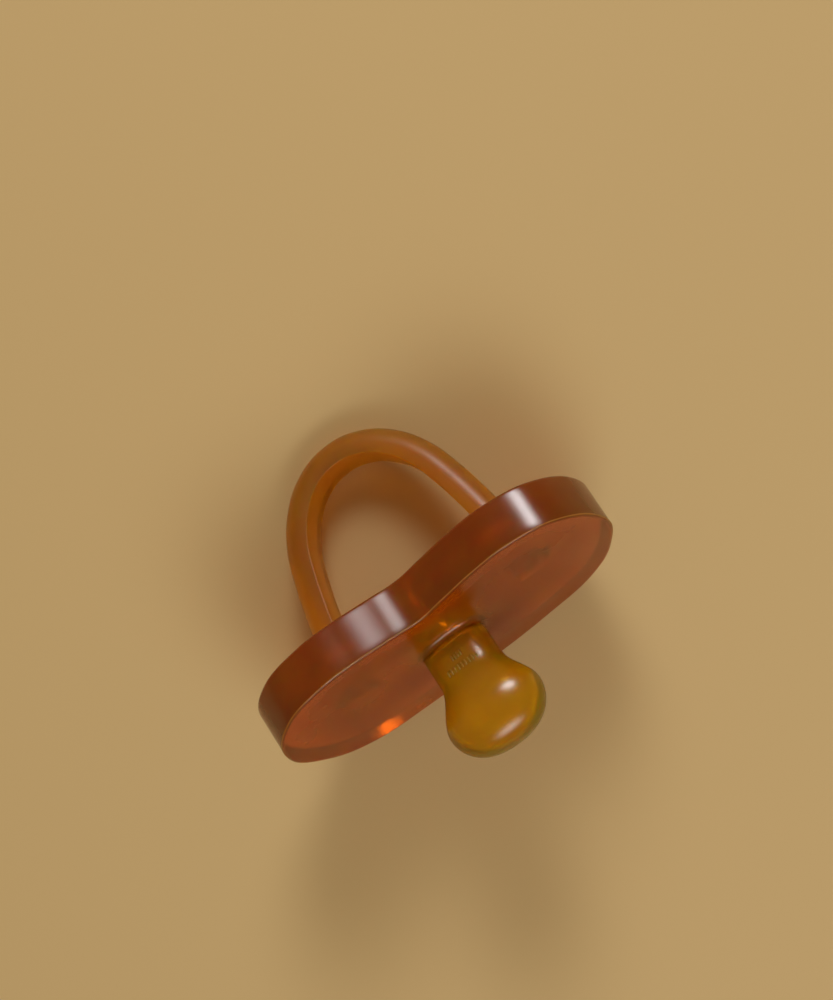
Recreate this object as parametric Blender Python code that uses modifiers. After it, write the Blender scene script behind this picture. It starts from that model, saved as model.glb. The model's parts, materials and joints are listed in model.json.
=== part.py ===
"""Pacifier moulded in natural rubber: butterfly shield, handle loop and hollow orthodontic teat.

Local axes: X runs along the shield, Y points to the nose side, Z runs along the teat, and Z = 0 is
the shield's rear edge at mid-length. The whole object hangs on one empty, which lays it down on the
floor the way it comes to rest: on the chin edge of the shield and the end of the loop.
"""

import math

import bmesh
import bpy
from mathutils import Matrix, Vector

MM = 0.001
GAP = 0.3 * MM  # between pieces that touch
TURN = 2.0 * math.pi
SIDEWAYS = Matrix.Rotation(TURN / 4.0, 4, "Y")  # lays a cylinder along X

# Shield: half outline, from the middle of the notch round the side to the middle of the chin edge
NOTCH_Y = 11.8 * MM
LOBE_X = 16.5 * MM
LOBE_Y = 14.8 * MM
HALF_LENGTH = 29.1 * MM
CHIN_Y = -16.0 * MM
OUTLINE_HALF = (
    (0.0, NOTCH_Y),
    (8.0 * MM, 13.3 * MM),
    (LOBE_X, LOBE_Y),
    (24.6 * MM, 12.3 * MM),
    (HALF_LENGTH, 4.0 * MM),
    (26.7 * MM, -5.4 * MM),
    (20.6 * MM, -12.2 * MM),
    (11.5 * MM, -15.1 * MM),
    (0.0, CHIN_Y),
)
OUTLINE_STEPS = 6  # outline segments between two of these points
RIM_HEIGHT = 7.5 * MM
RIM_EDGE_R = 0.5 * MM
RIM_LAND = 2.6 * MM  # width of the land inside the edge
FACE_RISE = 0.5 * MM  # height of the pillowed face at the teat, above the land
BACK_DISH = 0.6 * MM  # depth of the back at its middle
WING_CURVE = 1.6  # 1/m: a point at X stands WING_CURVE * X * X towards the teat
EDGE_STEPS = 2
FACE_STEPS = 4

# Teat flange: the ring that the teat's root sits in
FLANGE_R = 8.2 * MM
FLANGE_FLOOR = 1.4 * MM  # height of its underside
PASSAGE_R = 1.6 * MM  # core passage, open at the back

# Teat
TEAT_PIVOT_Z = RIM_HEIGHT + FACE_RISE
ROOT_HALF_X = 5.9 * MM  # half width of the rounded root
ROOT_HALF_Y = 4.1 * MM
ROOT_OPEN_ANGLE = math.radians(62.0)  # where the root is cut open, below its middle
NECK_HALF_X = 5.2 * MM
NECK_HALF_Y = 3.6 * MM
NECK_Z = TEAT_PIVOT_Z + 1.8 * MM
NECK_TOP_Z = 13.6 * MM
BULB_HALF_X = 8.0 * MM
BULB_HALF_Y = 4.7 * MM
BULB_Z = 20.9 * MM
BULB_FULLNESS = 0.8  # 1 makes the end elliptical, and less makes it fuller
TIP_Y = 0.9 * MM  # the bulb leans to the nose side
TIP_Z = 27.0 * MM
TEAT_WALL = 1.6 * MM
TEAT_SIDES = 32
ROOT_STEPS = 4
SHOULDER_STEPS = 5
BULB_STEPS = 6

# Handle loop: centre line of one half, from the pivot in the root to the far end of the arch
LOOP_DEPTH = 5.4 * MM  # along Y
LOOP_BAND = 4.3 * MM  # from its inner face to its rounded outer face
LOOP_PIVOT_Z = -3.3 * MM
LOOP_END_Z = -27.0 * MM
LOOP_ROOT_X = 15.3 * MM
LOOP_HALF = (
    (LOOP_ROOT_X, LOOP_PIVOT_Z),
    (14.5 * MM, -8.0 * MM),
    (13.3 * MM, -13.2 * MM),
    (11.6 * MM, -18.3 * MM),
    (8.7 * MM, -22.8 * MM),
    (4.7 * MM, -25.9 * MM),
    (0.0, LOOP_END_Z),
)
LOOP_STEPS = 4
LOOP_ROUND_STEPS = 6

# Loop roots: feet that stand in pockets of the shield and cup the ends of the loop
FOOT_SIZE_X = 6.2 * MM
FOOT_SIZE_Y = 7.2 * MM
FOOT_END_TO_PIVOT = 1.7 * MM  # leaves the folded loop room beside the cup's lip
FOOT_DEPTH = 3.4 * MM  # inside the shield, from its back
FOOT_CORNER_R = 1.2 * MM

AMBER_DARK = (0.30, 0.085, 0.012, 1.0)
AMBER_ORANGE = (0.62, 0.24, 0.025, 1.0)
AMBER_YELLOW = (0.60, 0.33, 0.035, 1.0)


def clear_scene():
    for obj in list(bpy.data.objects):
        bpy.data.objects.remove(obj, do_unlink=True)


def new_collection(name, hidden=False):
    collection = bpy.data.collections.new(name)
    collection.hide_render = hidden
    bpy.context.scene.collection.children.link(collection)
    return collection


def rubber(name, colour):
    material = bpy.data.materials.new(name)
    material.use_nodes = True
    shader = material.node_tree.nodes["Principled BSDF"]
    shader.inputs["Base Color"].default_value = colour
    shader.inputs["Roughness"].default_value = 0.25
    shader.inputs["Metallic"].default_value = 0.0
    return material


def add_object(name, mesh, collection, parent=None, material=None):
    obj = bpy.data.objects.new(name, mesh)
    collection.objects.link(obj)
    obj.parent = parent
    if material:
        mesh.materials.append(material)
        mesh.shade_smooth()
        mesh.set_sharp_from_angle(angle=math.radians(35.0))
    return obj


def add_empty(name, collection, parent=None, location=(0.0, 0.0, 0.0)):
    empty = add_object(name, None, collection, parent)
    empty.location = location
    return empty


def add_cutter(name, mesh, parent):
    cutter = add_object(name, mesh, cutters, parent)
    cutter.hide_render = True
    cutter.display_type = "WIRE"
    return cutter


def cut(obj, cutter):
    modifier = obj.modifiers.new(cutter.name, "BOOLEAN")
    modifier.operation = "DIFFERENCE"
    modifier.object = cutter


def curve_points(controls, steps, closed):
    """Points of a smooth curve through controls, (u, v) pairs, with steps segments between each two."""
    curve = bpy.data.curves.new("guide", "CURVE")
    curve.dimensions = "2D"
    curve.resolution_u = steps
    spline = curve.splines.new("BEZIER")
    spline.bezier_points.add(len(controls) - 1)
    spline.use_cyclic_u = closed
    for point, (u, v) in zip(spline.bezier_points, controls):
        point.co = (u, v, 0.0)
        point.handle_left_type = "AUTO"
        point.handle_right_type = "AUTO"
    guide = bpy.data.objects.new("guide", curve)
    bpy.context.scene.collection.objects.link(guide)
    bpy.context.view_layer.update()
    points = [vertex.co.copy() for vertex in guide.to_mesh().vertices]
    guide.to_mesh_clear()
    bpy.data.objects.remove(guide)
    bpy.data.curves.remove(curve)
    return points


def mirrored(half, closed):
    """The half's points and their mirror images in X, in order. Its end points on X = 0 aren't doubled."""
    inner = half[1:-1] if closed else half[:-1]
    return list(half) + [(-u, v) for u, v in reversed(inner)]


def mesh_of(name, shape):
    mesh = bpy.data.meshes.new(name)
    shape.to_mesh(mesh)
    shape.free()
    return mesh


def loft(name, rings, ends):
    """A mesh skinned over rings of equal length. Its ends are "joined" to each other, or "capped", or it
    is open at its first ring and gathered to a "tip" past its last one."""
    shape = bmesh.new()
    rows = [[shape.verts.new(point) for point in ring] for ring in rings]
    count = len(rows[0])
    pairs = list(zip(rows, rows[1:]))
    if ends == "joined":
        pairs.append((rows[-1], rows[0]))
    elif ends == "capped":
        shape.faces.new(rows[0])
        shape.faces.new(reversed(rows[-1]))
    else:
        tip = shape.verts.new((0.0, TIP_Y, TIP_Z - TEAT_PIVOT_Z))
        for i in range(count):
            shape.faces.new((rows[-1][i], rows[-1][(i + 1) % count], tip))
    for low, high in pairs:
        for i in range(count):
            j = (i + 1) % count
            shape.faces.new((low[i], low[j], high[j], high[i]))
    bmesh.ops.recalc_face_normals(shape, faces=shape.faces)
    return mesh_of(name, shape)


def primitive(name, create, transform, **sizes):
    shape = bmesh.new()
    create(shape, matrix=transform, **sizes)
    return mesh_of(name, shape)


def cylinder(name, radius, length, transform, sides):
    return primitive(
        name,
        bmesh.ops.create_cone,
        transform,
        cap_ends=True,
        segments=sides,
        radius1=radius,
        radius2=radius,
        depth=length,
    )


def ease(part):
    return part * part * (3.0 - 2.0 * part)


def wing_rise(x):
    return WING_CURVE * x * x


def build_shield(parent, material):
    outline = curve_points(mirrored(OUTLINE_HALF, closed=True), OUTLINE_STEPS, closed=True)
    inward = []
    for i, point in enumerate(outline):
        along = outline[(i + 1) % len(outline)] - outline[i - 1]
        inward.append(Vector((along.y, -along.x, 0.0)).normalized())

    def edge_ring(inset, z):
        ring = [point + direction * inset for point, direction in zip(outline, inward)]
        return [Vector((point.x, point.y, z + wing_rise(point.x))) for point in ring]

    def round_ring(radius, z):
        ring = [point.normalized() * radius for point in outline]
        return [Vector((point.x, point.y, z)) for point in ring]

    def between(outer, inner):
        """Rings from outer to inner whose height eases from the one's to the other's."""
        rings = []
        for step in range(1, FACE_STEPS):
            part = step / FACE_STEPS
            eased = ease(part)
            ring = [far.lerp(near, part) for far, near in zip(outer, inner)]
            for point, far, near in zip(ring, outer, inner):
                point.z = (1.0 - eased) * far.z + eased * near.z
            rings.append(ring)
        return rings

    seat_r = FLANGE_R + GAP
    seat_floor = FLANGE_FLOOR - GAP
    face_land = edge_ring(RIM_LAND, RIM_HEIGHT)
    face_middle = round_ring(seat_r, RIM_HEIGHT + FACE_RISE)
    back_land = edge_ring(RIM_LAND, 0.0)
    back_middle = round_ring(PASSAGE_R, BACK_DISH)
    corner = [TURN / 4.0 * step / EDGE_STEPS for step in range(EDGE_STEPS + 1)]
    arc = [(RIM_EDGE_R * (1.0 - math.sin(angle)), RIM_EDGE_R * (1.0 - math.cos(angle))) for angle in corner]
    rings = [face_middle, *reversed(between(face_land, face_middle)), face_land]
    rings += [edge_ring(inset, RIM_HEIGHT - drop) for inset, drop in arc]
    rings += [edge_ring(inset, drop) for inset, drop in reversed(arc)]
    rings += [back_land, *between(back_land, back_middle), back_middle]
    rings += [round_ring(PASSAGE_R, seat_floor), round_ring(seat_r, seat_floor)]
    return add_object("shield", loft("shield", rings, "joined"), parts, parent, material)


def build_flange(parent, material):
    height = RIM_HEIGHT + FACE_RISE - FLANGE_FLOOR
    place = Matrix.Translation((0.0, 0.0, FLANGE_FLOOR + height / 2.0))
    ring = cylinder("teat_flange", FLANGE_R, height, place, 64)
    flange = add_object("teat_flange", ring, parts, parent, material)
    size = (ROOT_HALF_X + GAP, ROOT_HALF_Y + GAP, ROOT_HALF_Y + GAP, 1.0)
    place = Matrix.Translation((0.0, 0.0, TEAT_PIVOT_Z)) @ Matrix.Diagonal(size)
    seat = primitive("seat", bmesh.ops.create_uvsphere, place, u_segments=40, v_segments=20, radius=1.0)
    cut(flange, add_cutter("teat_seat_cutter", seat, parent))
    passage = cylinder("passage", PASSAGE_R, RIM_HEIGHT, Matrix.Identity(4), 24)
    cut(flange, add_cutter("flange_passage_cutter", passage, parent))


def teat_sections():
    """(z, half width, half thickness, middle y) of the outer form, from the open root to near the tip."""
    sections = []
    for step in range(ROOT_STEPS + 1):
        angle = ROOT_OPEN_ANGLE * (step / ROOT_STEPS - 1.0)
        z = TEAT_PIVOT_Z + ROOT_HALF_Y * math.sin(angle)
        sections.append((z, ROOT_HALF_X * math.cos(angle), ROOT_HALF_Y * math.cos(angle), 0.0))
    sections.append((NECK_Z, NECK_HALF_X, NECK_HALF_Y, 0.0))
    sections.append(((NECK_Z + NECK_TOP_Z) / 2.0, NECK_HALF_X, NECK_HALF_Y, 0.0))
    for step in range(SHOULDER_STEPS + 1):
        part = step / SHOULDER_STEPS
        eased = ease(part)
        z = NECK_TOP_Z + (BULB_Z - NECK_TOP_Z) * part
        half_x = NECK_HALF_X + (BULB_HALF_X - NECK_HALF_X) * eased
        half_y = NECK_HALF_Y + (BULB_HALF_Y - NECK_HALF_Y) * eased
        sections.append((z, half_x, half_y, TIP_Y * eased))
    for step in range(1, BULB_STEPS):
        angle = TURN / 4.0 * step / BULB_STEPS
        z = BULB_Z + (TIP_Z - BULB_Z) * math.sin(angle)
        narrowing = math.cos(angle) ** BULB_FULLNESS
        sections.append((z, BULB_HALF_X * narrowing, BULB_HALF_Y * narrowing, TIP_Y))
    return sections


def build_teat(parent, material):
    rings = []
    for z, half_x, half_y, middle_y in teat_sections():
        ring = []
        for i in range(TEAT_SIDES):
            angle = TURN * i / TEAT_SIDES
            x = half_x * math.cos(angle)
            y = middle_y + half_y * math.sin(angle)
            ring.append(Vector((x, y, z - TEAT_PIVOT_Z)))
        rings.append(ring)
    teat = add_object("teat", loft("teat", rings, "tip"), parts, parent, material)
    wall = teat.modifiers.new("wall", "SOLIDIFY")
    wall.thickness = TEAT_WALL
    wall.offset = -1.0
    return teat


def loop_section():
    """The band's section, (outward, sideways) pairs: flat inner face and sides, full round outer face."""
    half = LOOP_DEPTH / 2.0
    inner = -LOOP_BAND / 2.0
    round_start = LOOP_BAND / 2.0 - half
    section = [(inner, -half)]
    for step in range(LOOP_ROUND_STEPS + 1):
        angle = math.pi * (step / LOOP_ROUND_STEPS - 0.5)
        section.append((round_start + half * math.cos(angle), half * math.sin(angle)))
    section.append((inner, half))
    return section


def build_loop(parent, material):
    path = curve_points(mirrored(LOOP_HALF, closed=False), LOOP_STEPS, closed=False)
    rings = []
    for i, point in enumerate(path):
        along = path[min(i + 1, len(path) - 1)] - path[max(i - 1, 0)]
        outward = Vector((-along.y, along.x)).normalized()
        ring = []
        for out, side in loop_section():
            x = point.x + outward.x * out
            z = point.y + outward.y * out - LOOP_PIVOT_Z
            ring.append(Vector((x, side, z)))
        rings.append(ring)
    loop = add_object("handle_loop", loft("handle_loop", rings, "capped"), parts, parent, material)
    for side, name in ((-1.0, "knuckle_left"), (1.0, "knuckle_right")):
        place = Matrix.Translation((side * LOOP_ROOT_X, 0.0, 0.0)) @ SIDEWAYS
        knuckle = add_cutter(name, cylinder(name, LOOP_DEPTH / 2.0, LOOP_BAND, place, 24), parent)
        union = loop.modifiers.new(name, "BOOLEAN")
        union.operation = "UNION"
        union.object = knuckle
    return loop


def foot_block(name, extra, low_z, high_z):
    """A block with rounded upright edges, larger all round by extra than the foot's outline."""
    size = (FOOT_SIZE_X + 2.0 * extra, FOOT_SIZE_Y + 2.0 * extra, high_z - low_z, 1.0)
    shape = bmesh.new()
    place = Matrix.Translation((0.0, 0.0, (low_z + high_z) / 2.0)) @ Matrix.Diagonal(size)
    bmesh.ops.create_cube(shape, size=1.0, matrix=place)
    upright = []
    for edge in shape.edges:
        run = edge.verts[0].co - edge.verts[1].co
        if abs(run.z) > max(abs(run.x), abs(run.y)):
            upright.append(edge)
    bmesh.ops.bevel(
        shape, geom=upright, offset=FOOT_CORNER_R + extra, segments=4, profile=0.5, affect="EDGES"
    )
    return mesh_of(name, shape)


def build_foot(name, side, shield, parent, material):
    end = LOOP_PIVOT_Z + FOOT_END_TO_PIVOT
    foot = add_object(name, foot_block(name, 0.0, end, FOOT_DEPTH), parts, parent, material)
    place = Matrix.Translation((0.0, 0.0, LOOP_PIVOT_Z)) @ SIDEWAYS
    cup = cylinder("cup", LOOP_DEPTH / 2.0 + GAP, 2.0 * FOOT_SIZE_X, place, 32)
    cup_cutter = add_cutter(name + "_cup_cutter", cup, parent)
    cut(foot, cup_cutter)
    pocket = foot_block(name + "_pocket", GAP, end, FOOT_DEPTH + GAP)
    pocket_cutter = add_cutter(name + "_pocket_cutter", pocket, parent)
    cut(shield, pocket_cutter)
    for obj in (foot, cup_cutter, pocket_cutter):
        obj.location.x = side * LOOP_ROOT_X


def lay_down(root):
    """Turns the object onto its chin edge and loop end, with its box's bottom centre at the origin."""
    run = LOOP_BAND / 2.0 - LOOP_END_Z
    drop = -CHIN_Y - LOOP_DEPTH / 2.0
    root.rotation_euler.x = math.atan2(run, drop)
    bpy.context.view_layer.update()
    graph = bpy.context.evaluated_depsgraph_get()
    corners = []
    for obj in parts.objects:
        if obj.type != "MESH":
            continue
        evaluated = obj.evaluated_get(graph)
        corners += [evaluated.matrix_world @ vertex.co for vertex in evaluated.to_mesh().vertices]
        evaluated.to_mesh_clear()
    low = [min(corner[axis] for corner in corners) for axis in range(3)]
    high = [max(corner[axis] for corner in corners) for axis in range(3)]
    root.location = (-(low[0] + high[0]) / 2.0, -(low[1] + high[1]) / 2.0, -low[2])


clear_scene()
parts = new_collection("pacifier")
cutters = new_collection("pacifier_cutters", hidden=True)
dark = rubber("rubber_shield", AMBER_DARK)
orange = rubber("rubber_loop", AMBER_ORANGE)
yellow = rubber("rubber_teat", AMBER_YELLOW)

rest = add_empty("rest_pose", parts)
teat_pivot = add_empty("teat_pivot", parts, rest, (0.0, 0.0, TEAT_PIVOT_Z))
loop_pivot = add_empty("loop_pivot", parts, rest, (0.0, 0.0, LOOP_PIVOT_Z))

shield = build_shield(rest, dark)
build_flange(rest, dark)
build_teat(teat_pivot, yellow)
build_loop(loop_pivot, orange)
build_foot("loop_root_left", -1.0, shield, rest, dark)
build_foot("loop_root_right", 1.0, shield, rest, dark)
lay_down(rest)
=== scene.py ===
import json
import math

import bmesh
import bpy
from mathutils import Matrix, Vector


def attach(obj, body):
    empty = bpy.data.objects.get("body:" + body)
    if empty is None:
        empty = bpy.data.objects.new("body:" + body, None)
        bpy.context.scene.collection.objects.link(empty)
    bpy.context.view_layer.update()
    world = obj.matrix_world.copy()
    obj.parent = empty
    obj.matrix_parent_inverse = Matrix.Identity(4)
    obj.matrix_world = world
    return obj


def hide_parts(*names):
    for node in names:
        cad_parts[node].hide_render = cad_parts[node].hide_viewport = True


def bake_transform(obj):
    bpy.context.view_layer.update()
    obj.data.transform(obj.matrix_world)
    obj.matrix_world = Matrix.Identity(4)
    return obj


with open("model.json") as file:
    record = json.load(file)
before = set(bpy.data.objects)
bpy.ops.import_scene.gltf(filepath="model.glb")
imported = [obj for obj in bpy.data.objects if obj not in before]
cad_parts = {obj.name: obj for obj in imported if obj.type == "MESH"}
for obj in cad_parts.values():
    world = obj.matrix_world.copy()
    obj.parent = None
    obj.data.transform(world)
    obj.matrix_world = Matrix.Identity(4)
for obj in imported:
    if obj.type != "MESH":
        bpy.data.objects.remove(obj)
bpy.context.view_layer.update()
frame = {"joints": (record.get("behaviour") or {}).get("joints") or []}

MM = 0.001
TURN = 2.0 * math.pi

# The object's own axes: X along the shield, Y to the nose side, Z along the teat
JOINTS = {joint["name"]: Vector(joint["pos_m"]) for joint in frame["joints"]}
LOOP_PIVOT_Z = -3.3 * MM
TEAT_AXIS = (JOINTS["teat_flex"] - JOINTS["loop_flex"]).normalized()
NOSE_AXIS = TEAT_AXIS.cross(Vector((1.0, 0.0, 0.0)))
ORIGIN = JOINTS["loop_flex"] - TEAT_AXIS * LOOP_PIVOT_Z
OWN_AXES = Matrix((Vector((1.0, 0.0, 0.0)), NOSE_AXIS, TEAT_AXIS)).transposed()
TO_ROW = Matrix.Translation(ORIGIN) @ OWN_AXES.to_4x4()

# Shield
OUTLINE_HALF = (
    (0.0, 11.7 * MM),
    (4.4 * MM, 12.65 * MM),
    (10.5 * MM, 14.25 * MM),
    (17.0 * MM, 15.0 * MM),
    (24.6 * MM, 12.6 * MM),
    (29.1 * MM, 4.1 * MM),
    (26.7 * MM, -5.4 * MM),
    (20.6 * MM, -12.2 * MM),
    (11.5 * MM, -15.1 * MM),
    (0.0, -16.0 * MM),
)
OUTLINE_STEPS = 20
RIM_HEIGHT = 7.5 * MM
RIM_LAND = 2.6 * MM  # width of the land inside the rim's edge
FACE_EDGE_R = 0.4 * MM
BACK_EDGE_R = 0.5 * MM
WING_CURVE = 1.6  # rise of the wings to the teat's side, per metre
FACE_RISE = 0.5 * MM
BACK_DISH = 0.6 * MM
PASSAGE_R = 1.6 * MM
BACK_LIP_R = 0.5 * MM
PARTING_LINE_R = 0.11 * MM
PARTING_LINE_SINK = 0.07 * MM
PARTING_LINE_DROP = 0.22 * MM

# Teat
NECK_HALF_X = 5.2 * MM
NECK_HALF_Y = 3.6 * MM
NECK_TOP_Z = 13.6 * MM
BULB_HALF_X = 8.0 * MM
BULB_HALF_Y = 4.7 * MM
BULB_Z = 20.9 * MM
TIP_Y = 0.9 * MM
TIP_Z = 27.0 * MM
TEAT_WALL = 1.5 * MM
NECK_FILLET = 0.8 * MM
NECK_SQUARENESS = 2.7  # 2 is an ellipse
COLLAR_Z = 8.9 * MM  # where the teat's skin takes over from the shield's
SEAM = 0.02 * MM
BULB_BLUNTNESS = 0.8  # below 1 the bulb's end is fuller than an ellipse
LEAST_HOLLOW_X = 0.2 * MM
LEAST_HOLLOW_Y = 0.12 * MM
BAR_ROWS = ((13.4 * MM, 9, 0.62 * MM), (11.7 * MM, 4, 0.5 * MM))  # z, count, pitch
BAR_SIZE = (0.26 * MM, 0.3 * MM, 0.95 * MM)
BAR_BEVEL = 0.08 * MM

# Loop
LOOP_DEPTH = 5.4 * MM
LOOP_BAND = 4.3 * MM
LOOP_EDGE_R = 0.15 * MM
LOOP_HALF = (
    (15.75 * MM, 1.6 * MM),
    (15.3 * MM, -3.3 * MM),
    (14.5 * MM, -8.0 * MM),
    (13.3 * MM, -13.2 * MM),
    (11.6 * MM, -18.3 * MM),
    (8.7 * MM, -22.8 * MM),
    (4.7 * MM, -25.9 * MM),
    (0.0, -27.0 * MM),
)
ROOT_FLARE = 1.8 * MM
ROOT_FLARE_Z = 1.3 * MM
ROOT_FLARE_LENGTH = 3.2 * MM
ROOT_SEAM_Z = -2.4 * MM

# Rubber
RUBBER_IOR = 1.52
AMBER = (0.945, 0.88, 0.02, 1.0)
# Places, (place, radius) pairs, round which a paler colour is painted on the shield: painted
# glow for light that shines through the rubber at the neck's base and at the loop's roots
PAINTED_GLOW_PLACES = (
    ((0.0, 2.5 * MM, 9.0 * MM), 9.0 * MM),
    ((15.6 * MM, 0.0, 0.5 * MM), 8.5 * MM),
    ((-15.6 * MM, 0.0, 0.5 * MM), 8.5 * MM),
)


def ease(part):
    return part * part * (3.0 - 2.0 * part)


def curve_points(controls, steps, closed):
    curve = bpy.data.curves.new("guide", "CURVE")
    curve.dimensions = "2D"
    curve.resolution_u = steps
    spline = curve.splines.new("BEZIER")
    spline.bezier_points.add(len(controls) - 1)
    spline.use_cyclic_u = closed
    for point, (u, v) in zip(spline.bezier_points, controls):
        point.co = (u, v, 0.0)
        point.handle_left_type = "AUTO"
        point.handle_right_type = "AUTO"
    guide = bpy.data.objects.new("guide", curve)
    bpy.context.scene.collection.objects.link(guide)
    bpy.context.view_layer.update()
    points = [vertex.co.copy() for vertex in guide.to_mesh().vertices]
    guide.to_mesh_clear()
    bpy.data.objects.remove(guide)
    bpy.data.curves.remove(curve)
    return points


def mirrored(half, closed):
    inner = half[1:-1] if closed else half[:-1]
    return list(half) + [(-u, v) for u, v in reversed(inner)]


def loft(name, rings, ends, tips=()):
    shape = bmesh.new()
    rows = [[shape.verts.new(point) for point in ring] for ring in rings]
    count = len(rows[0])
    pairs = list(zip(rows, rows[1:]))
    if ends == "joined":
        pairs.append((rows[-1], rows[0]))
    elif ends == "capped":
        shape.faces.new(rows[0])
        shape.faces.new(reversed(rows[-1]))
    elif ends == "tips":
        for row, place in ((rows[0], tips[0]), (rows[-1], tips[1])):
            tip = shape.verts.new(place)
            for i in range(count):
                shape.faces.new((row[i], row[(i + 1) % count], tip))
    for low, high in pairs:
        for i in range(count):
            j = (i + 1) % count
            shape.faces.new((low[i], low[j], high[j], high[i]))
    bmesh.ops.recalc_face_normals(shape, faces=shape.faces)
    mesh = bpy.data.meshes.new(name)
    shape.to_mesh(mesh)
    shape.free()
    mesh.transform(TO_ROW)
    mesh.shade_smooth()
    obj = bpy.data.objects.new(name, mesh)
    bpy.context.scene.collection.objects.link(obj)
    return obj


def wing_rise(x):
    return WING_CURVE * x * x


def quarter(steps):
    return [TURN / 4.0 * step / steps for step in range(steps + 1)]


def arc(radius, steps):
    """A rounded edge, (inset, drop) pairs from the flat face to the wall"""
    return [(radius * (1.0 - math.sin(t)), radius * (1.0 - math.cos(t))) for t in quarter(steps)]


def make_shield():
    outline = curve_points(mirrored(OUTLINE_HALF, closed=True), OUTLINE_STEPS, closed=True)
    inward = []
    for i, point in enumerate(outline):
        along = outline[(i + 1) % len(outline)] - outline[i - 1]
        inward.append(Vector((along.y, -along.x, 0.0)).normalized())

    def edge_ring(inset, z):
        ring = [point + direction * inset for point, direction in zip(outline, inward)]
        return [Vector((point.x, point.y, z + wing_rise(point.x))) for point in ring]

    def round_ring(radius, z):
        ring = [point.normalized() * radius for point in outline]
        return [Vector((point.x, point.y, z)) for point in ring]

    def between(outer, inner, steps):
        rings = []
        for step in range(1, steps):
            part = step / steps
            eased = ease(part)
            ring = [far.lerp(near, part) for far, near in zip(outer, inner)]
            for point, far, near in zip(ring, outer, inner):
                point.z = (1.0 - eased) * far.z + eased * near.z
            rings.append(ring)
        return rings

    def oval_ring(grow, z):
        """A ring on the neck's oval, grown all round, in the outline's directions."""
        half_x = NECK_HALF_X + grow
        half_y = NECK_HALF_Y + grow
        ring = []
        for point in outline:
            way = point.normalized()
            across = abs(way.x / half_x) ** NECK_SQUARENESS
            along = abs(way.y / half_y) ** NECK_SQUARENESS
            reach = (across + along) ** (-1.0 / NECK_SQUARENESS)
            ring.append(Vector((way.x * reach, way.y * reach, z)))
        return ring

    face_z = RIM_HEIGHT + FACE_RISE
    face_land = edge_ring(RIM_LAND, RIM_HEIGHT)
    face_middle = oval_ring(NECK_FILLET, face_z)
    back_land = edge_ring(RIM_LAND, 0.0)
    back_middle = round_ring(PASSAGE_R + BACK_LIP_R, BACK_DISH)
    rings = [oval_ring(grow, face_z + rise) for grow, rise in reversed(arc(NECK_FILLET, 8)[1:])]
    rings.insert(0, oval_ring(0.0, COLLAR_Z))
    rings += [face_middle, *reversed(between(face_land, face_middle, 16)), face_land]
    rings += [edge_ring(RIM_LAND * (1 - k / 4), RIM_HEIGHT) for k in (1, 2, 3)]
    rings += [edge_ring(inset, RIM_HEIGHT - drop) for inset, drop in arc(FACE_EDGE_R, 5)]
    wall = RIM_HEIGHT - FACE_EDGE_R - BACK_EDGE_R
    rings += [edge_ring(0.0, RIM_HEIGHT - FACE_EDGE_R - wall * k / 8) for k in range(1, 8)]
    rings += [edge_ring(inset, drop) for inset, drop in reversed(arc(BACK_EDGE_R, 5))]
    rings += [edge_ring(RIM_LAND * k / 4, 0.0) for k in (1, 2, 3)]
    rings += [back_land, *between(back_land, back_middle, 16), back_middle]
    lip = arc(BACK_LIP_R, 4)[1:]
    rings += [round_ring(PASSAGE_R + grow, BACK_DISH + rise) for grow, rise in lip]
    low = round_ring(PASSAGE_R, BACK_DISH + 2.0 * BACK_LIP_R)
    high = oval_ring(-TEAT_WALL, face_z)
    for k in range(9):
        rings.append([near.lerp(far, ease(k / 8)) for near, far in zip(low, high)])
    rings.append(oval_ring(-TEAT_WALL, COLLAR_Z))
    return loft("shield_body", rings, "joined")


def teat_sections():
    """(z, half width, half thickness, middle y, squareness) from the collar to near the tip"""
    sections = []
    start = COLLAR_Z + SEAM
    steps = 6
    for step in range(steps):
        z = start + (NECK_TOP_Z - start) * step / steps
        sections.append((z, NECK_HALF_X, NECK_HALF_Y, 0.0, NECK_SQUARENESS))
    steps = 16
    for step in range(steps + 1):
        part = step / steps
        eased = ease(part)
        z = NECK_TOP_Z + (BULB_Z - NECK_TOP_Z) * part
        half_x = NECK_HALF_X + (BULB_HALF_X - NECK_HALF_X) * eased
        half_y = NECK_HALF_Y + (BULB_HALF_Y - NECK_HALF_Y) * eased
        squareness = NECK_SQUARENESS + (2.0 - NECK_SQUARENESS) * eased
        sections.append((z, half_x, half_y, TIP_Y * eased, squareness))
    steps = 18
    for step in range(1, steps):
        angle = TURN / 4.0 * step / steps
        z = BULB_Z + (TIP_Z - BULB_Z) * math.sin(angle)
        narrowing = math.cos(angle) ** BULB_BLUNTNESS
        sections.append((z, BULB_HALF_X * narrowing, BULB_HALF_Y * narrowing, TIP_Y, 2.0))
    return sections


def make_teat():
    sides = 96

    def ring_of(z, half_x, half_y, middle_y, squareness):
        ring = []
        for i in range(sides):
            angle = TURN * i / sides
            across = math.copysign(abs(math.cos(angle)) ** (2.0 / squareness), math.cos(angle))
            along = math.copysign(abs(math.sin(angle)) ** (2.0 / squareness), math.sin(angle))
            ring.append(Vector((half_x * across, middle_y + half_y * along, z)))
        return ring

    outer = teat_sections()
    top = TIP_Z - TEAT_WALL
    base = outer[0][0]
    inner = []
    for z, half_x, half_y, middle_y, squareness in outer:
        inner_z = base + (z - base) * (top - base) / (TIP_Z - base)
        inner_x = max(half_x - TEAT_WALL, LEAST_HOLLOW_X)
        inner_y = max(half_y - TEAT_WALL, LEAST_HOLLOW_Y)
        inner.append((inner_z, inner_x, inner_y, middle_y, squareness))
    rings = [ring_of(*section) for section in reversed(inner)]
    rings += [ring_of(*section) for section in outer]
    return loft("teat_skin", rings, "tips", ((0, TIP_Y, top), (0, TIP_Y, TIP_Z)))


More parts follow.
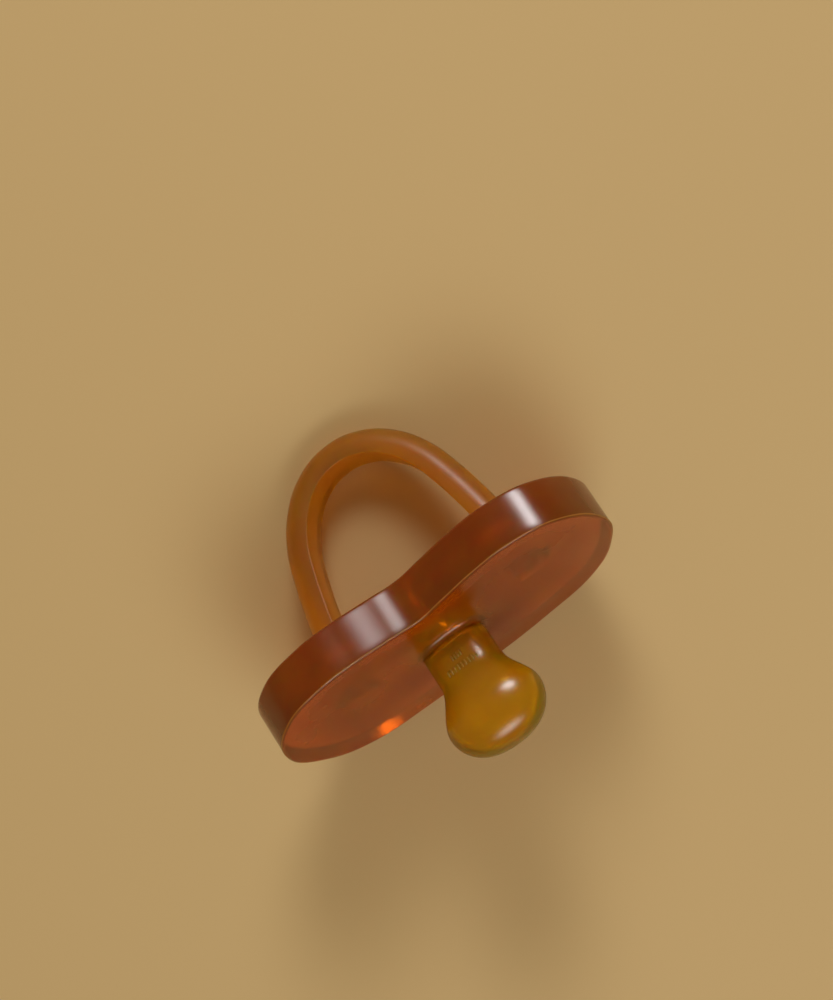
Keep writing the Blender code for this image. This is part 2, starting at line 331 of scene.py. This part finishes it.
def tube(name, path, radius, sides):
    """A closed ring of round section along path, a list of (point, outward direction) pairs."""
    rings = []
    up = Vector((0.0, 0.0, 1.0))
    for point, outward in path:
        ring = []
        for i in range(sides):
            angle = TURN * i / sides
            sideways = outward * (radius * math.cos(angle))
            ring.append(point + sideways + up * (radius * math.sin(angle)))
        rings.append(ring)
    return loft(name, rings, "joined")


def make_parting_line():
    """The narrow raised line that the mould leaves round the rim, just below the face."""
    outline = curve_points(mirrored(OUTLINE_HALF, closed=True), OUTLINE_STEPS, closed=True)
    path = []
    for i, point in enumerate(outline):
        along = outline[(i + 1) % len(outline)] - outline[i - 1]
        outward = Vector((-along.y, along.x, 0.0)).normalized()
        place = point - outward * PARTING_LINE_SINK
        place.z = RIM_HEIGHT - PARTING_LINE_DROP + wing_rise(point.x)
        path.append((place, outward))
    return tube("parting_line", path, PARTING_LINE_R, 8)


def make_neck_bars():
    """Two rows of plain raised bars across the front of the neck."""
    shape = bmesh.new()
    for z, count, pitch in BAR_ROWS:
        for i in range(count):
            x = (i - (count - 1) / 2.0) * pitch
            part = abs(x) / NECK_HALF_X
            y = NECK_HALF_Y * (1.0 - part**NECK_SQUARENESS) ** (1.0 / NECK_SQUARENESS)
            slope_x = part ** (NECK_SQUARENESS - 1.0) / NECK_HALF_X
            slope_y = (y / NECK_HALF_Y) ** (NECK_SQUARENESS - 1.0) / NECK_HALF_Y
            lean = math.copysign(math.atan2(slope_x, slope_y), x)
            place = Matrix.Translation((x, y, z)) @ Matrix.Rotation(-lean, 4, "Z")
            size = Matrix.Diagonal((*BAR_SIZE, 1.0))
            cube = bmesh.ops.create_cube(shape, size=1.0, matrix=place @ size)
            edges = list({edge for vertex in cube["verts"] for edge in vertex.link_edges})
            bmesh.ops.bevel(shape, geom=edges, offset=BAR_BEVEL, segments=2, affect="EDGES")
    mesh = bpy.data.meshes.new("neck_bars")
    shape.to_mesh(mesh)
    shape.free()
    mesh.transform(TO_ROW)
    mesh.shade_smooth()
    obj = bpy.data.objects.new("neck_bars", mesh)
    bpy.context.scene.collection.objects.link(obj)
    return obj


def loop_section(grow):
    """Closed D section, (outward, sideways) pairs"""
    half = LOOP_DEPTH / 2.0 + grow
    inner = -LOOP_BAND / 2.0 - grow
    outer = LOOP_BAND / 2.0 + grow
    start = outer - half
    edge = [(inner + rise, inset - half) for inset, rise in arc(LOOP_EDGE_R, 4)]
    points = list(edge)
    for step in range(17):
        angle = math.pi * (step / 16 - 0.5)
        points.append((start + (outer - start) * math.cos(angle), half * math.sin(angle)))
    points += [(u, -v) for u, v in reversed(edge)]
    return points


def loop_rings():
    """Rings along the whole loop. Its ends flare into the shield's back."""
    path = curve_points(mirrored(LOOP_HALF, closed=False), 14, closed=False)
    rings = []
    for i, point in enumerate(path):
        along = path[min(i + 1, len(path) - 1)] - path[max(i - 1, 0)]
        outward = Vector((-along.y, along.x)).normalized()
        part = min(max((ROOT_FLARE_Z - point.y) / ROOT_FLARE_LENGTH, 0.0), 1.0)
        grow = ROOT_FLARE * (1.0 - math.sqrt(1.0 - (1.0 - part) ** 2))
        ring = []
        for out, side in loop_section(grow):
            ring.append(Vector((point.x + outward.x * out, side, point.y + outward.y * out)))
        rings.append((point.y, ring))
    return rings


def make_loop_and_roots():
    rings = loop_rings()
    low = [i for i, (z, ring) in enumerate(rings) if z < ROOT_SEAM_Z]
    first = low[0]
    last = low[-1]
    band = [[point.copy() for point in ring] for z, ring in rings[first : last + 1]]
    for ring in (band[0], band[-1]):
        for point in ring:
            point.z -= SEAM
    right_root = loft("loop_root_right_stub", [ring for z, ring in rings[: first + 1]], "capped")
    left_root = loft("loop_root_left_stub", [ring for z, ring in rings[last:]], "capped")
    return loft("loop_band", band, "capped"), left_root, right_root


def join_to(body, other):
    """Unites other with body, so that the rubber is continuous there, and removes other."""
    union = body.modifiers.new("union", "BOOLEAN")
    union.operation = "UNION"
    union.solver = "EXACT"
    union.object = other
    graph = bpy.context.evaluated_depsgraph_get()
    joined = bpy.data.meshes.new_from_object(body.evaluated_get(graph))
    body.modifiers.clear()
    body.data = joined
    bpy.data.objects.remove(other)


def rubber(name, light, deep, roughness, clearness, density, painted_glow=None, painted_glow_places=()):
    """Clear amber rubber with a little haze. Its colour deepens with the thickness that
    light crosses. Round the places in its last argument, (place, radius) pairs, it mixes in the
    paler colour of the argument before: painted glow, standing for light that shines through the
    rubber there."""
    material = bpy.data.materials.new(name)
    material.use_nodes = True
    nodes = material.node_tree.nodes
    links = material.node_tree.links
    shader = nodes["Principled BSDF"]
    shader.inputs["IOR"].default_value = RUBBER_IOR
    shader.inputs["Transmission Weight"].default_value = clearness
    shader.inputs["Subsurface Weight"].default_value = 1.0
    shader.inputs["Subsurface Radius"].default_value = (1.4, 1.0, 0.5)
    shader.inputs["Subsurface Scale"].default_value = 1.0 * MM

    place = nodes.new("ShaderNodeTexCoord")
    clouds = nodes.new("ShaderNodeTexNoise")
    clouds.inputs["Scale"].default_value = 130.0
    clouds.inputs["Detail"].default_value = 3.0
    links.new(place.outputs["Object"], clouds.inputs["Vector"])
    tint = nodes.new("ShaderNodeValToRGB")
    tint.color_ramp.elements[0].position = 0.3
    tint.color_ramp.elements[0].color = (*deep, 1.0)
    tint.color_ramp.elements[1].position = 0.7
    tint.color_ramp.elements[1].color = (*light, 1.0)
    links.new(clouds.outputs["Fac"], tint.inputs["Fac"])
    colour = tint.outputs["Color"]
    # Painted glow: a paler colour mixed in round each place, standing for light that shines
    # through the rubber there
    for centre, radius in painted_glow_places:
        distance = nodes.new("ShaderNodeVectorMath")
        distance.operation = "DISTANCE"
        distance.inputs[1].default_value = TO_ROW @ Vector(centre)
        links.new(place.outputs["Object"], distance.inputs[0])
        near = nodes.new("ShaderNodeMapRange")
        near.interpolation_type = "SMOOTHSTEP"
        near.inputs["From Min"].default_value = radius
        near.inputs["From Max"].default_value = 0.4 * radius
        links.new(distance.outputs["Value"], near.inputs["Value"])
        blend = nodes.new("ShaderNodeMix")
        blend.data_type = "RGBA"
        blend.inputs["B"].default_value = (*painted_glow, 1.0)
        links.new(near.outputs["Result"], blend.inputs["Factor"])
        links.new(colour, blend.inputs["A"])
        colour = blend.outputs["Result"]
    links.new(colour, shader.inputs["Base Color"])

    bloom = nodes.new("ShaderNodeTexNoise")
    bloom.inputs["Scale"].default_value = 420.0
    bloom.inputs["Detail"].default_value = 4.0
    links.new(place.outputs["Object"], bloom.inputs["Vector"])
    sheen = nodes.new("ShaderNodeMapRange")
    sheen.inputs["To Min"].default_value = roughness * 0.85
    sheen.inputs["To Max"].default_value = roughness * 1.2
    links.new(bloom.outputs["Fac"], sheen.inputs["Value"])
    links.new(sheen.outputs["Result"], shader.inputs["Roughness"])

    skin = nodes.new("ShaderNodeTexNoise")
    skin.inputs["Scale"].default_value = 900.0
    skin.inputs["Detail"].default_value = 2.0
    links.new(place.outputs["Object"], skin.inputs["Vector"])
    bump = nodes.new("ShaderNodeBump")
    bump.inputs["Strength"].default_value = 0.02
    bump.inputs["Distance"].default_value = 0.05 * MM
    links.new(skin.outputs["Fac"], bump.inputs["Height"])
    links.new(bump.outputs["Normal"], shader.inputs["Normal"])

    depth = nodes.new("ShaderNodeVolumeAbsorption")
    depth.inputs["Color"].default_value = AMBER
    depth.inputs["Density"].default_value = density
    links.new(depth.outputs["Volume"], nodes["Material Output"].inputs["Volume"])
    return material


def paint(obj, material):
    obj.data.materials.clear()
    obj.data.materials.append(material)


shield = make_shield()
teat = make_teat()
loop, left_root, right_root = make_loop_and_roots()
for root in (left_root, right_root):
    join_to(shield, root)
shield.data.shade_smooth()
shield.data.set_sharp_from_angle(angle=math.radians(40.0))
line = make_parting_line()
bars = make_neck_bars()
thick = ("amber_thick", (1.0, 0.29, 0.002), (0.84, 0.19, 0.001), 0.2, 0.84, 950.0)
# The shield's paler colour round the neck's base and the loop's roots is painted glow, for light
# shining through the rubber
paint(shield, rubber(*thick, painted_glow=(1.0, 0.46, 0.008), painted_glow_places=PAINTED_GLOW_PLACES))
paint(loop, rubber("amber_band", (1.0, 0.52, 0.002), (0.94, 0.44, 0.001), 0.36, 0.84, 850.0))
paint(teat, rubber("amber_teat", (1.0, 0.68, 0.003), (0.94, 0.58, 0.002), 0.2, 0.8, 1200.0))
paint(line, rubber("amber_line", (0.97, 0.36, 0.05), (0.92, 0.30, 0.03), 0.25, 0.6, 600.0))
paint(bars, rubber("amber_bars", (0.94, 0.60, 0.10), (0.90, 0.50, 0.07), 0.25, 0.6, 600.0))

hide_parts("shield", "teat_flange", "loop_root_left", "loop_root_right")
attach(shield, "base")
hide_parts("handle_loop")
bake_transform(loop)
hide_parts("teat")
for piece in (teat, bars):
    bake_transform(piece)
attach(line, "base")

# Stage
floor_mesh = bpy.data.meshes.new("floor")
floor_mesh.from_pydata([(-1, -1, 0), (1, -1, 0), (1, 1, 0), (-1, 1, 0)], [], [(0, 1, 2, 3)])
floor = bpy.data.objects.new("floor", floor_mesh)
bpy.context.scene.collection.objects.link(floor)
floor_material = bpy.data.materials.new("floor")
floor_material.use_nodes = True
floor_shader = floor_material.node_tree.nodes["Principled BSDF"]
floor_shader.inputs["Base Color"].default_value = (0.66, 0.47, 0.21, 1.0)
floor_shader.inputs["Roughness"].default_value = 0.7
floor_mesh.materials.append(floor_material)

world = bpy.data.worlds.new("studio")
bpy.context.scene.world = world
world.use_nodes = True
world.node_tree.nodes["Background"].inputs["Color"].default_value = (1.0, 0.70, 0.36, 1.0)
world.node_tree.nodes["Background"].inputs["Strength"].default_value = 0.2

# Camera and lights: the camera's directions are in the object's own axes
CAMERA_DISTANCE = 0.6
CAMERA_BACK = Vector((0.180, 0.900, 0.396))
CAMERA_UP = Vector((0.600, 0.219, -0.769))
LENS = 147.96
AIM_LEFT = 1.21 * MM
AIM_ABOVE = 14.34 * MM
LIGHT_DISTANCE = 0.8


def camera_directions():
    """(right, up, back) of the photograph, in the row's axes"""
    to_row = TO_ROW.to_3x3()
    back = (to_row @ CAMERA_BACK).normalized()
    right = (to_row @ CAMERA_UP).cross(back).normalized()
    return right, back.cross(right), back


def add_camera(right, up, back):
    data = bpy.data.cameras.new("camera")
    data.lens = LENS
    data.clip_start = 0.01
    camera = bpy.data.objects.new("camera", data)
    bpy.context.scene.collection.objects.link(camera)
    place = ORIGIN + back * CAMERA_DISTANCE
    aim = ORIGIN - right * AIM_LEFT + up * AIM_ABOVE
    away = (place - aim).normalized()
    across = up.cross(away).normalized()
    turn = Matrix((across, away.cross(across), away)).transposed()
    camera.matrix_world = Matrix.Translation(place) @ turn.to_4x4()
    bpy.context.scene.camera = camera


def soften(data):
    """Fades the light from its middle to its edge, so that its reflection has no outline."""
    data.use_nodes = True
    nodes = data.node_tree.nodes
    links = data.node_tree.links
    place = nodes.new("ShaderNodeNewGeometry")
    from_middle = nodes.new("ShaderNodeVectorMath")
    from_middle.operation = "DISTANCE"
    from_middle.inputs[1].default_value = (0.5, 0.5, 0.0)
    links.new(place.outputs["Parametric"], from_middle.inputs[0])
    fade = nodes.new("ShaderNodeMapRange")
    fade.interpolation_type = "SMOOTHSTEP"
    fade.inputs["From Min"].default_value = 0.5
    fade.inputs["From Max"].default_value = 0.0
    fade.inputs["To Max"].default_value = 3.0
    links.new(from_middle.outputs["Value"], fade.inputs["Value"])
    links.new(fade.outputs["Result"], nodes["Emission"].inputs["Strength"])


def add_light(name, direction, size, power):
    data = bpy.data.lights.new(name, "AREA")
    data.shape = "RECTANGLE"
    data.size = size[0]
    data.size_y = size[1]
    data.energy = power
    soften(data)
    light = bpy.data.objects.new(name, data)
    bpy.context.scene.collection.objects.link(light)
    direction = direction.normalized()
    light.location = ORIGIN + direction * LIGHT_DISTANCE
    light.rotation_mode = "QUATERNION"
    light.rotation_quaternion = direction.to_track_quat("Z", "Y")


right, up, back = camera_directions()
add_camera(right, up, back)
add_light("key", right * -0.13 + up * 0.76 + back * 0.62, (0.48, 0.42), 4.2)
add_light("low", right * 0.27 - up * 0.62 + back * 0.73, (0.90, 0.64), 3.6)

bpy.context.scene.view_settings.view_transform = "Standard"
